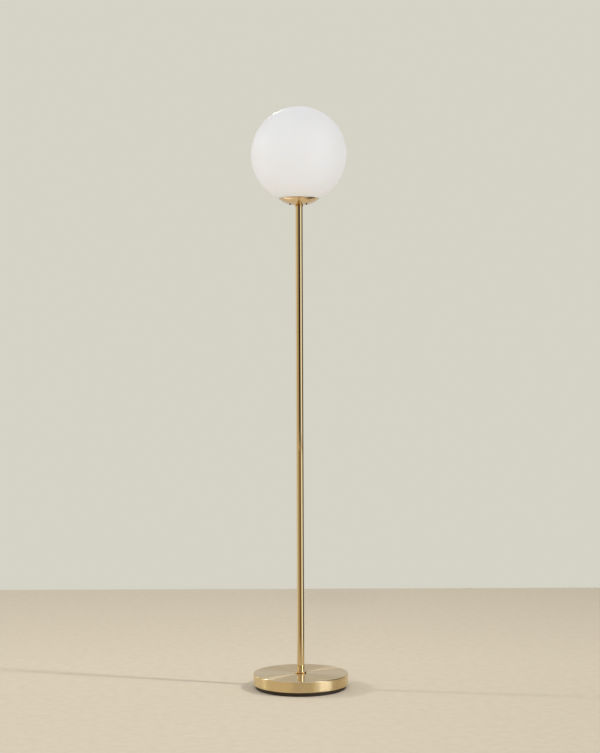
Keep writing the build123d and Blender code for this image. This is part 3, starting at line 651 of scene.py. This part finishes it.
def spreadTree():
    # Cuts the recess out of one piece and sets copies of it round the Z axis.
    tree, source = openTree(
        "spread", ("Recess", "Object", None), ("Count", "Int", 3), ("Ring Radius", "Float", 0.05),
        ("First Angle", "Float", 0.0), ("Height", "Float", 0.0), ("Tilt", "Float", 0.0),
        ("Sharp From", "Float", radians(30)), ("Finish", "Material", None))
    recess = addNode(tree, "GeometryNodeObjectInfo", {"Object": source.outputs["Recess"]},
                     transform_space="ORIGINAL")
    cut = addNode(tree, "GeometryNodeMeshBoolean",
                  {0: source.outputs["Geometry"], 1: recess.outputs["Geometry"]},
                  operation="DIFFERENCE", solver="EXACT")
    index = addNode(tree, "GeometryNodeInputIndex")
    step = addNode(tree, "ShaderNodeMath", {0: 2 * pi, 1: source.outputs["Count"]},
                   operation="DIVIDE")
    angle = addNode(tree, "ShaderNodeMath", {0: index, 1: step}, operation="MULTIPLY")
    east = addNode(tree, "ShaderNodeMath", {0: angle}, operation="COSINE")
    north = addNode(tree, "ShaderNodeMath", {0: angle}, operation="SINE")
    spot = addNode(tree, "ShaderNodeCombineXYZ", {0: east, 1: north})
    spot = addNode(tree, "ShaderNodeVectorMath", {0: spot, "Scale": source.outputs["Ring Radius"]},
                   operation="SCALE")
    row = addNode(tree, "GeometryNodeMeshLine", {"Count": source.outputs["Count"]})
    ring = addNode(tree, "GeometryNodeSetPosition", {0: row, 2: spot})
    pose = addNode(tree, "ShaderNodeMath", {0: source.outputs["Tilt"], 1: -1.0},
                   operation="MULTIPLY")
    pose = addNode(tree, "ShaderNodeCombineXYZ", {1: pose, 2: angle})
    copies = addNode(tree, "GeometryNodeInstanceOnPoints",
                     {"Points": ring, "Instance": cut.outputs["Mesh"], "Rotation": pose})
    real = addNode(tree, "GeometryNodeRealizeInstances", {0: copies})
    lift = addNode(tree, "ShaderNodeCombineXYZ", {2: source.outputs["Height"]})
    swing = addNode(tree, "ShaderNodeCombineXYZ", {2: source.outputs["First Angle"]})
    seated = addNode(tree, "GeometryNodeTransform",
                     {0: real, "Translation": lift, "Rotation": swing})
    return closeTree(tree, source, seated)


def runTree(name, tree, mesh, finish, values):
    # the plain mesh that a tree makes of a starting mesh
    work = bpy.data.objects.new(name + "Work", mesh)
    bpy.context.scene.collection.objects.link(work)
    if not mesh.materials:
        mesh.materials.append(finish)
    modifier = work.modifiers.new("rule", "NODES")
    modifier.node_group = tree
    sockets = {item.name: item.identifier for item in tree.interface.items_tree
               if item.in_out == "INPUT"}
    modifier[sockets["Finish"]] = finish
    for label, value in values.items():
        modifier[sockets[label]] = value
    depsgraph = bpy.context.evaluated_depsgraph_get()
    plainMesh = bpy.data.meshes.new_from_object(work.evaluated_get(depsgraph))
    bpy.data.objects.remove(work)
    plainMesh.name = name
    plainMesh.materials.clear()
    plainMesh.materials.append(finish)
    plainMesh.polygons.foreach_set("material_index", [0] * len(plainMesh.polygons))
    return plainMesh


def placePiece(name, mesh, body, slot, *nodes):
    # a finished mesh rides on its body in the place of the frame's plain solids
    piece = bpy.data.objects.new(name, mesh)
    bpy.context.scene.collection.objects.link(piece)
    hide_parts(*nodes)
    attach(piece, body)


def profileMesh(name, points):
    # points: radius and height in millimetres, and how much of the thread is cut there (0 to 1)
    mesh = bpy.data.meshes.new(name + "Profile")
    mesh.from_pydata([(point[0] * mm, 0, point[1] * mm) for point in points],
                     [(k, k + 1) for k in range(len(points) - 1)], [])
    thread = mesh.attributes.new("thread", "FLOAT", "POINT")
    thread.data.foreach_set("value", [point[2] if len(point) > 2 else 0.0 for point in points])
    return mesh


def turnPiece(name, points, body, slot, node, values):
    # one turned piece, from its profile to its place on the body
    mesh = runTree(name, lathe, profileMesh(name, points), finishes[slot], values)
    placePiece(name, mesh, body, slot, node)


def arc(radius, height, size, start, end, steps):
    # points on an arc in the profile's plane, with its middle at the radius and height
    angles = [radians(start + (end - start) * k / steps) for k in range(steps + 1)]
    return [(radius + size * cos(angle), height + size * sin(angle)) for angle in angles]


def closedProfile(*runs):
    points = [point for run in runs for point in run]
    return points + [points[0]]


lathe = latheTree()
spread = spreadTree()
edgeSteps = 6  # flats in a small rounded edge


# Opal globe

globe = {"radius": 125.0, "wall": 3.0, "openingRadius": 38.0, "openingEdge": 0.8,
         "centre": 1392.748, "segments": 192, "steps": 96, "sharpFrom": 40}


def opalGlobe():
    # from the top down the outside, round the ground lip of the opening and up the inside
    outer, inner = globe["radius"], globe["radius"] - globe["wall"]
    edge, centre, steps = globe["openingEdge"], globe["centre"], globe["steps"]
    mouth = globe["openingRadius"] + edge
    low = -degrees(acos(mouth / (outer - edge)))
    high = -degrees(acos(mouth / (inner + edge)))
    lowLip = centre - sqrt((outer - edge) ** 2 - mouth ** 2)
    highLip = centre - sqrt((inner + edge) ** 2 - mouth ** 2)
    points = arc(0, centre, outer, 90, low, steps)
    points += arc(mouth, lowLip, edge, low, -180, edgeSteps)[1:]
    points += arc(mouth, highLip, edge, 180, 180 + high, edgeSteps)
    points += arc(0, centre, inner, high, 90, steps)[1:]
    turnPiece("opalGlobe", points, "globe", "opal_glass", "globe",
              {"Segments": globe["segments"], "Sharp From": radians(globe["sharpFrom"])})


opalGlobe()
print("globe turned")


# Stem: three tubes, the collar at each end, and the threaded rods inside

stem = {"radius": 9.5, "wall": 1.0, "chamfer": 0.35, "segments": 160}
tubes = [
    {"name": "lowerTube", "node": "lower_tube", "bottom": 40.3, "top": 614.0},
    {"name": "middleTube", "node": "middle_tube", "bottom": 614.0, "top": 930.0},
    {"name": "upperTube", "node": "upper_tube", "bottom": 930.0, "top": 1257.5},
]


def stemTubes():
    outer, inner, edge = stem["radius"], stem["radius"] - stem["wall"], stem["chamfer"]
    for tube in tubes:
        low, high = tube["bottom"], tube["top"]
        points = closedProfile([(outer - edge, high), (outer, high - edge), (outer, low + edge),
                                (outer - edge, low), (inner, low), (inner, high)])
        turnPiece(tube["name"], points, "stand", "polished_brass", tube["node"],
                  {"Segments": stem["segments"]})


# the tube stands in the collar's socket, on its web
footCollar = {"radius": 15.0, "bottom": 38.8, "height": 4.4, "beadSteps": 24, "web": 1.5,
              "socket": 9.55, "bore": 5.2}


def stemCollar():
    bottom, bore, socket = footCollar["bottom"], footCollar["bore"], footCollar["socket"]
    bead = footCollar["height"] / 2
    web = bottom + footCollar["web"]
    points = closedProfile(
        [(socket, bottom + footCollar["height"])],
        arc(footCollar["radius"] - bead, bottom + bead, bead, 90, -90, footCollar["beadSteps"]),
        [(bore, bottom), (bore, web), (socket, web)])
    turnPiece("stemCollar", points, "stand", "turned_brass", "stem_collar",
              {"Segments": stem["segments"]})


headCollar = {"radius": 10.75, "bottom": 1257.5, "height": 4.0, "edge": 0.8, "bore": 5.2}


def dishCollar():
    edge, bore = headCollar["edge"], headCollar["bore"]
    low, high = headCollar["bottom"], headCollar["bottom"] + headCollar["height"]
    side = headCollar["radius"] - edge
    points = closedProfile(
        [(bore, high)], arc(side, high - edge, edge, 90, 0, edgeSteps),
        arc(side, low + edge, edge, 0, -90, edgeSteps), [(bore, low)])
    turnPiece("dishCollar", points, "stand", "turned_brass", "dish_collar",
              {"Segments": stem["segments"]})


rod = {"radius": 5.0, "bore": 3.7, "pitch": 1.0, "depth": 0.6, "rowsPerTurn": 6, "segments": 48,
       "sharpFrom": 75}
rods = [
    {"name": "baseRod", "node": "base_nipple", "bottom": 18.5, "top": 54.3},
    {"name": "lowerJointRod", "node": "lower_joint_nipple", "bottom": 600.0, "top": 628.0},
    {"name": "upperJointRod", "node": "upper_joint_nipple", "bottom": 916.0, "top": 944.0},
    {"name": "headRod", "node": "head_nipple", "bottom": 1243.5, "top": 1272.0},
]


def threadedRun(radius, low, high, rows, lead):
    # points down a threaded side, with a plain lead at each end
    heights = [high - lead - (high - low - 2 * lead) * k / rows for k in range(rows + 1)]
    return [(radius, height, 1.0) for height in heights]


def threadedRods():
    depth, bore = rod["depth"], rod["bore"]
    root = rod["radius"] - depth
    for one in rods:
        low, high = one["bottom"], one["top"]
        rows = round((high - low) / rod["pitch"] * rod["rowsPerTurn"])
        points = closedProfile(
            [(root, high)], threadedRun(rod["radius"], low, high, rows, depth),
            [(root, low), (bore, low), (bore, high)])
        turnPiece(one["name"], points, "stand", "zinc_steel", one["node"], {
            "Segments": rod["segments"], "Thread Depth": depth * mm,
            "Thread Pitch": rod["pitch"] * mm, "Sharp From": radians(rod["sharpFrom"])})


stemTubes()
stemCollar()
dishCollar()
threadedRods()
print("stem turned")


# Screw cap of the bulb and the threaded sleeve that takes it

lampThread = {"pitch": 3.6, "segments": 96, "rowsPerTurn": 14}
bulbCap = {"radius": 13.1, "wall": 0.4, "bottom": 1300.5, "top": 1320.5, "rim": 11.9,
           "rimSteps": 5, "threadFrom": 1302.6, "threadTo": 1313.8, "depth": 0.9}
sleeve = {"radius": 13.85, "wall": 0.3, "bottom": 1291.0, "top": 1317.0, "depth": 0.35,
          "plain": 1.5}


def rolledRun(radius, low, high):
    # points down a rolled thread, which fades in and out over its first and last quarter turn
    rows = round((high - low) / lampThread["pitch"] * lampThread["rowsPerTurn"])
    fade = lampThread["rowsPerTurn"] / 4
    shares = [min(1.0, k / fade, (rows - k) / fade) for k in range(rows + 1)]
    return [(radius, high - (high - low) * k / rows, shares[k]) for k in range(rows + 1)]


def rolledValues(depth):
    return {"Segments": lampThread["segments"], "Thread Depth": depth * mm,
            "Thread Pitch": lampThread["pitch"] * mm, "Thread Roundness": 1.0}


def screwCap():
    outer, inner, wall = bulbCap["radius"], bulbCap["radius"] - bulbCap["wall"], bulbCap["wall"]
    low, high = bulbCap["threadFrom"], bulbCap["threadTo"]
    top, bottom, rim = bulbCap["top"], bulbCap["bottom"], bulbCap["rim"]
    points = closedProfile(
        [(outer, top)], rolledRun(outer, low, high),
        arc(inner, bottom + wall, wall, 0, -90, bulbCap["rimSteps"]),
        [(rim, bottom), (rim, bottom + wall), (inner, bottom + wall)],
        reversed(rolledRun(inner, low, high)), [(inner, top)])
    turnPiece("bulbCap", points, "bulb", "bulb_nickel", "bulb_cap", rolledValues(bulbCap["depth"]))


def screwSleeve():
    outer, inner = sleeve["radius"], sleeve["radius"] - sleeve["wall"]
    top, bottom = sleeve["top"], sleeve["bottom"]
    low, high = bottom + sleeve["plain"], top - sleeve["plain"]
    points = closedProfile(
        [(outer, top)], rolledRun(outer, low, high), [(outer, bottom), (inner, bottom)],
        reversed(rolledRun(inner, low, high)), [(inner, top)])
    turnPiece("screwSleeve", points, "stand", "contact_brass", "screw_shell",
              rolledValues(sleeve["depth"]))


screwCap()
screwSleeve()
print("bulb cap and sleeve turned")


# Screws: the foot's four cross-recess ones, the clips' three slotted ones, the two terminal ones.
# Head and shank are diameters, the recess is its length, width and depth, and the height is that
# of the face under the head. A clip screw is tilted to stand square on the dish, whose bowl curves
# up from a flat middle on an arc.

bowl = {"flatRadius": 10.5, "arcRadius": 62.494}
screws = [
    {"name": "footScrews", "node": "foot_screws", "slot": "black_steel", "head": 8.0,
     "headHeight": 3.1, "edge": 1.0, "shank": 4.0, "length": 14.0, "pitch": 0.7,
     "cross": True, "recess": (4.4, 1.0, 1.8), "count": 4, "ring": 80.0, "firstAngle": 30.0,
     "height": 7.5, "tilt": 0.0},
    {"name": "clipScrews", "node": "clip_screws", "slot": "black_steel", "head": 4.5,
     "headHeight": 1.8, "edge": 0.45, "shank": 2.5, "length": 6.5, "pitch": 0.45,
     "cross": False, "recess": (6.0, 0.7, 0.9), "count": 3, "ring": 25.0, "firstAngle": 81.0,
     "height": 1263.2053,
     "tilt": degrees(asin((25.0 - bowl["flatRadius"]) / bowl["arcRadius"]))},
    {"name": "terminalScrews", "node": "terminal_screws", "slot": "contact_brass", "head": 5.5,
     "headHeight": 1.6, "edge": 0.4, "shank": 3.0, "length": 8.0, "pitch": 0.5,
     "cross": False, "recess": (7.0, 0.9, 0.8), "count": 2, "ring": 8.0, "firstAngle": 0.0,
     "height": 1279.0, "tilt": 0.0},
]
screwShape = {"segments": 32, "rowsPerTurn": 4, "threadDepth": 0.6, "overcut": 1.0,
              "sharpFrom": 50}


def recessCutter(screw):
    # a bar for a slot, a plus shape for a cross, which reaches out of the head by the overcut so
    # that the cut is clean
    length, width, depth = (size * mm for size in screw["recess"])
    bottom = -(screw["headHeight"] + screwShape["overcut"]) * mm
    top = -screw["headHeight"] * mm + depth
    far, near = length / 2, width / 2
    outline = [(far, -near), (far, near), (-far, near), (-far, -near)]
    if screw["cross"]:
        arm = [(far, -near), (far, near), (near, near)]
        turns = [Matrix.Rotation(quarter * pi / 2, 2) for quarter in range(4)]
        outline = [tuple(turn @ Vector(corner)) for turn in turns for corner in arm]
    shape = bmesh.new()
    face = shape.faces.new([shape.verts.new((x, y, bottom)) for x, y in outline])
    grown = bmesh.ops.extrude_face_region(shape, geom=[face])["geom"]
    raised = [part for part in grown if isinstance(part, bmesh.types.BMVert)]
    bmesh.ops.translate(shape, verts=raised, vec=(0, 0, top - bottom))
    bmesh.ops.recalc_face_normals(shape, faces=shape.faces)
    mesh = bpy.data.meshes.new(screw["name"] + "Recess")
    shape.to_mesh(mesh)
    shape.free()
    cutter = bpy.data.objects.new(screw["name"] + "Recess", mesh)
    bpy.context.scene.collection.objects.link(cutter)
    return cutter


def screwProfile(screw, depth):
    # from the tip along the thread, out under the head and round it to the middle of its face
    head, shank, edge = screw["head"] / 2, screw["shank"] / 2, screw["edge"]
    rows = round(screw["length"] / screw["pitch"] * screwShape["rowsPerTurn"])
    points = [(0, screw["length"]), (shank - depth, screw["length"])]
    points += threadedRun(shank, 0, screw["length"], rows, depth)
    points += [(shank, 0), (head, 0)]
    points += arc(head - edge, edge - screw["headHeight"], edge, 0, -90, edgeSteps)
    return points + [(0, -screw["headHeight"])]


def screwSet(screw):
    finish = finishes[screw["slot"]]
    depth = screw["pitch"] * screwShape["threadDepth"]
    profile = profileMesh(screw["name"], screwProfile(screw, depth))
    one = runTree(screw["name"] + "One", lathe, profile, finish, {
        "Segments": screwShape["segments"], "Thread Depth": depth * mm,
        "Thread Pitch": screw["pitch"] * mm, "Sharp From": radians(screwShape["sharpFrom"])})
    cutter = recessCutter(screw)
    mesh = runTree(screw["name"], spread, one, finish, {
        "Recess": cutter, "Count": screw["count"], "Ring Radius": screw["ring"] * mm,
        "First Angle": radians(screw["firstAngle"]), "Height": screw["height"] * mm,
        "Tilt": radians(screw["tilt"])})
    bpy.data.objects.remove(cutter)
    placePiece(screw["name"], mesh, "stand", screw["slot"], screw["node"])


for screw in screws:
    screwSet(screw)
print("screws set")
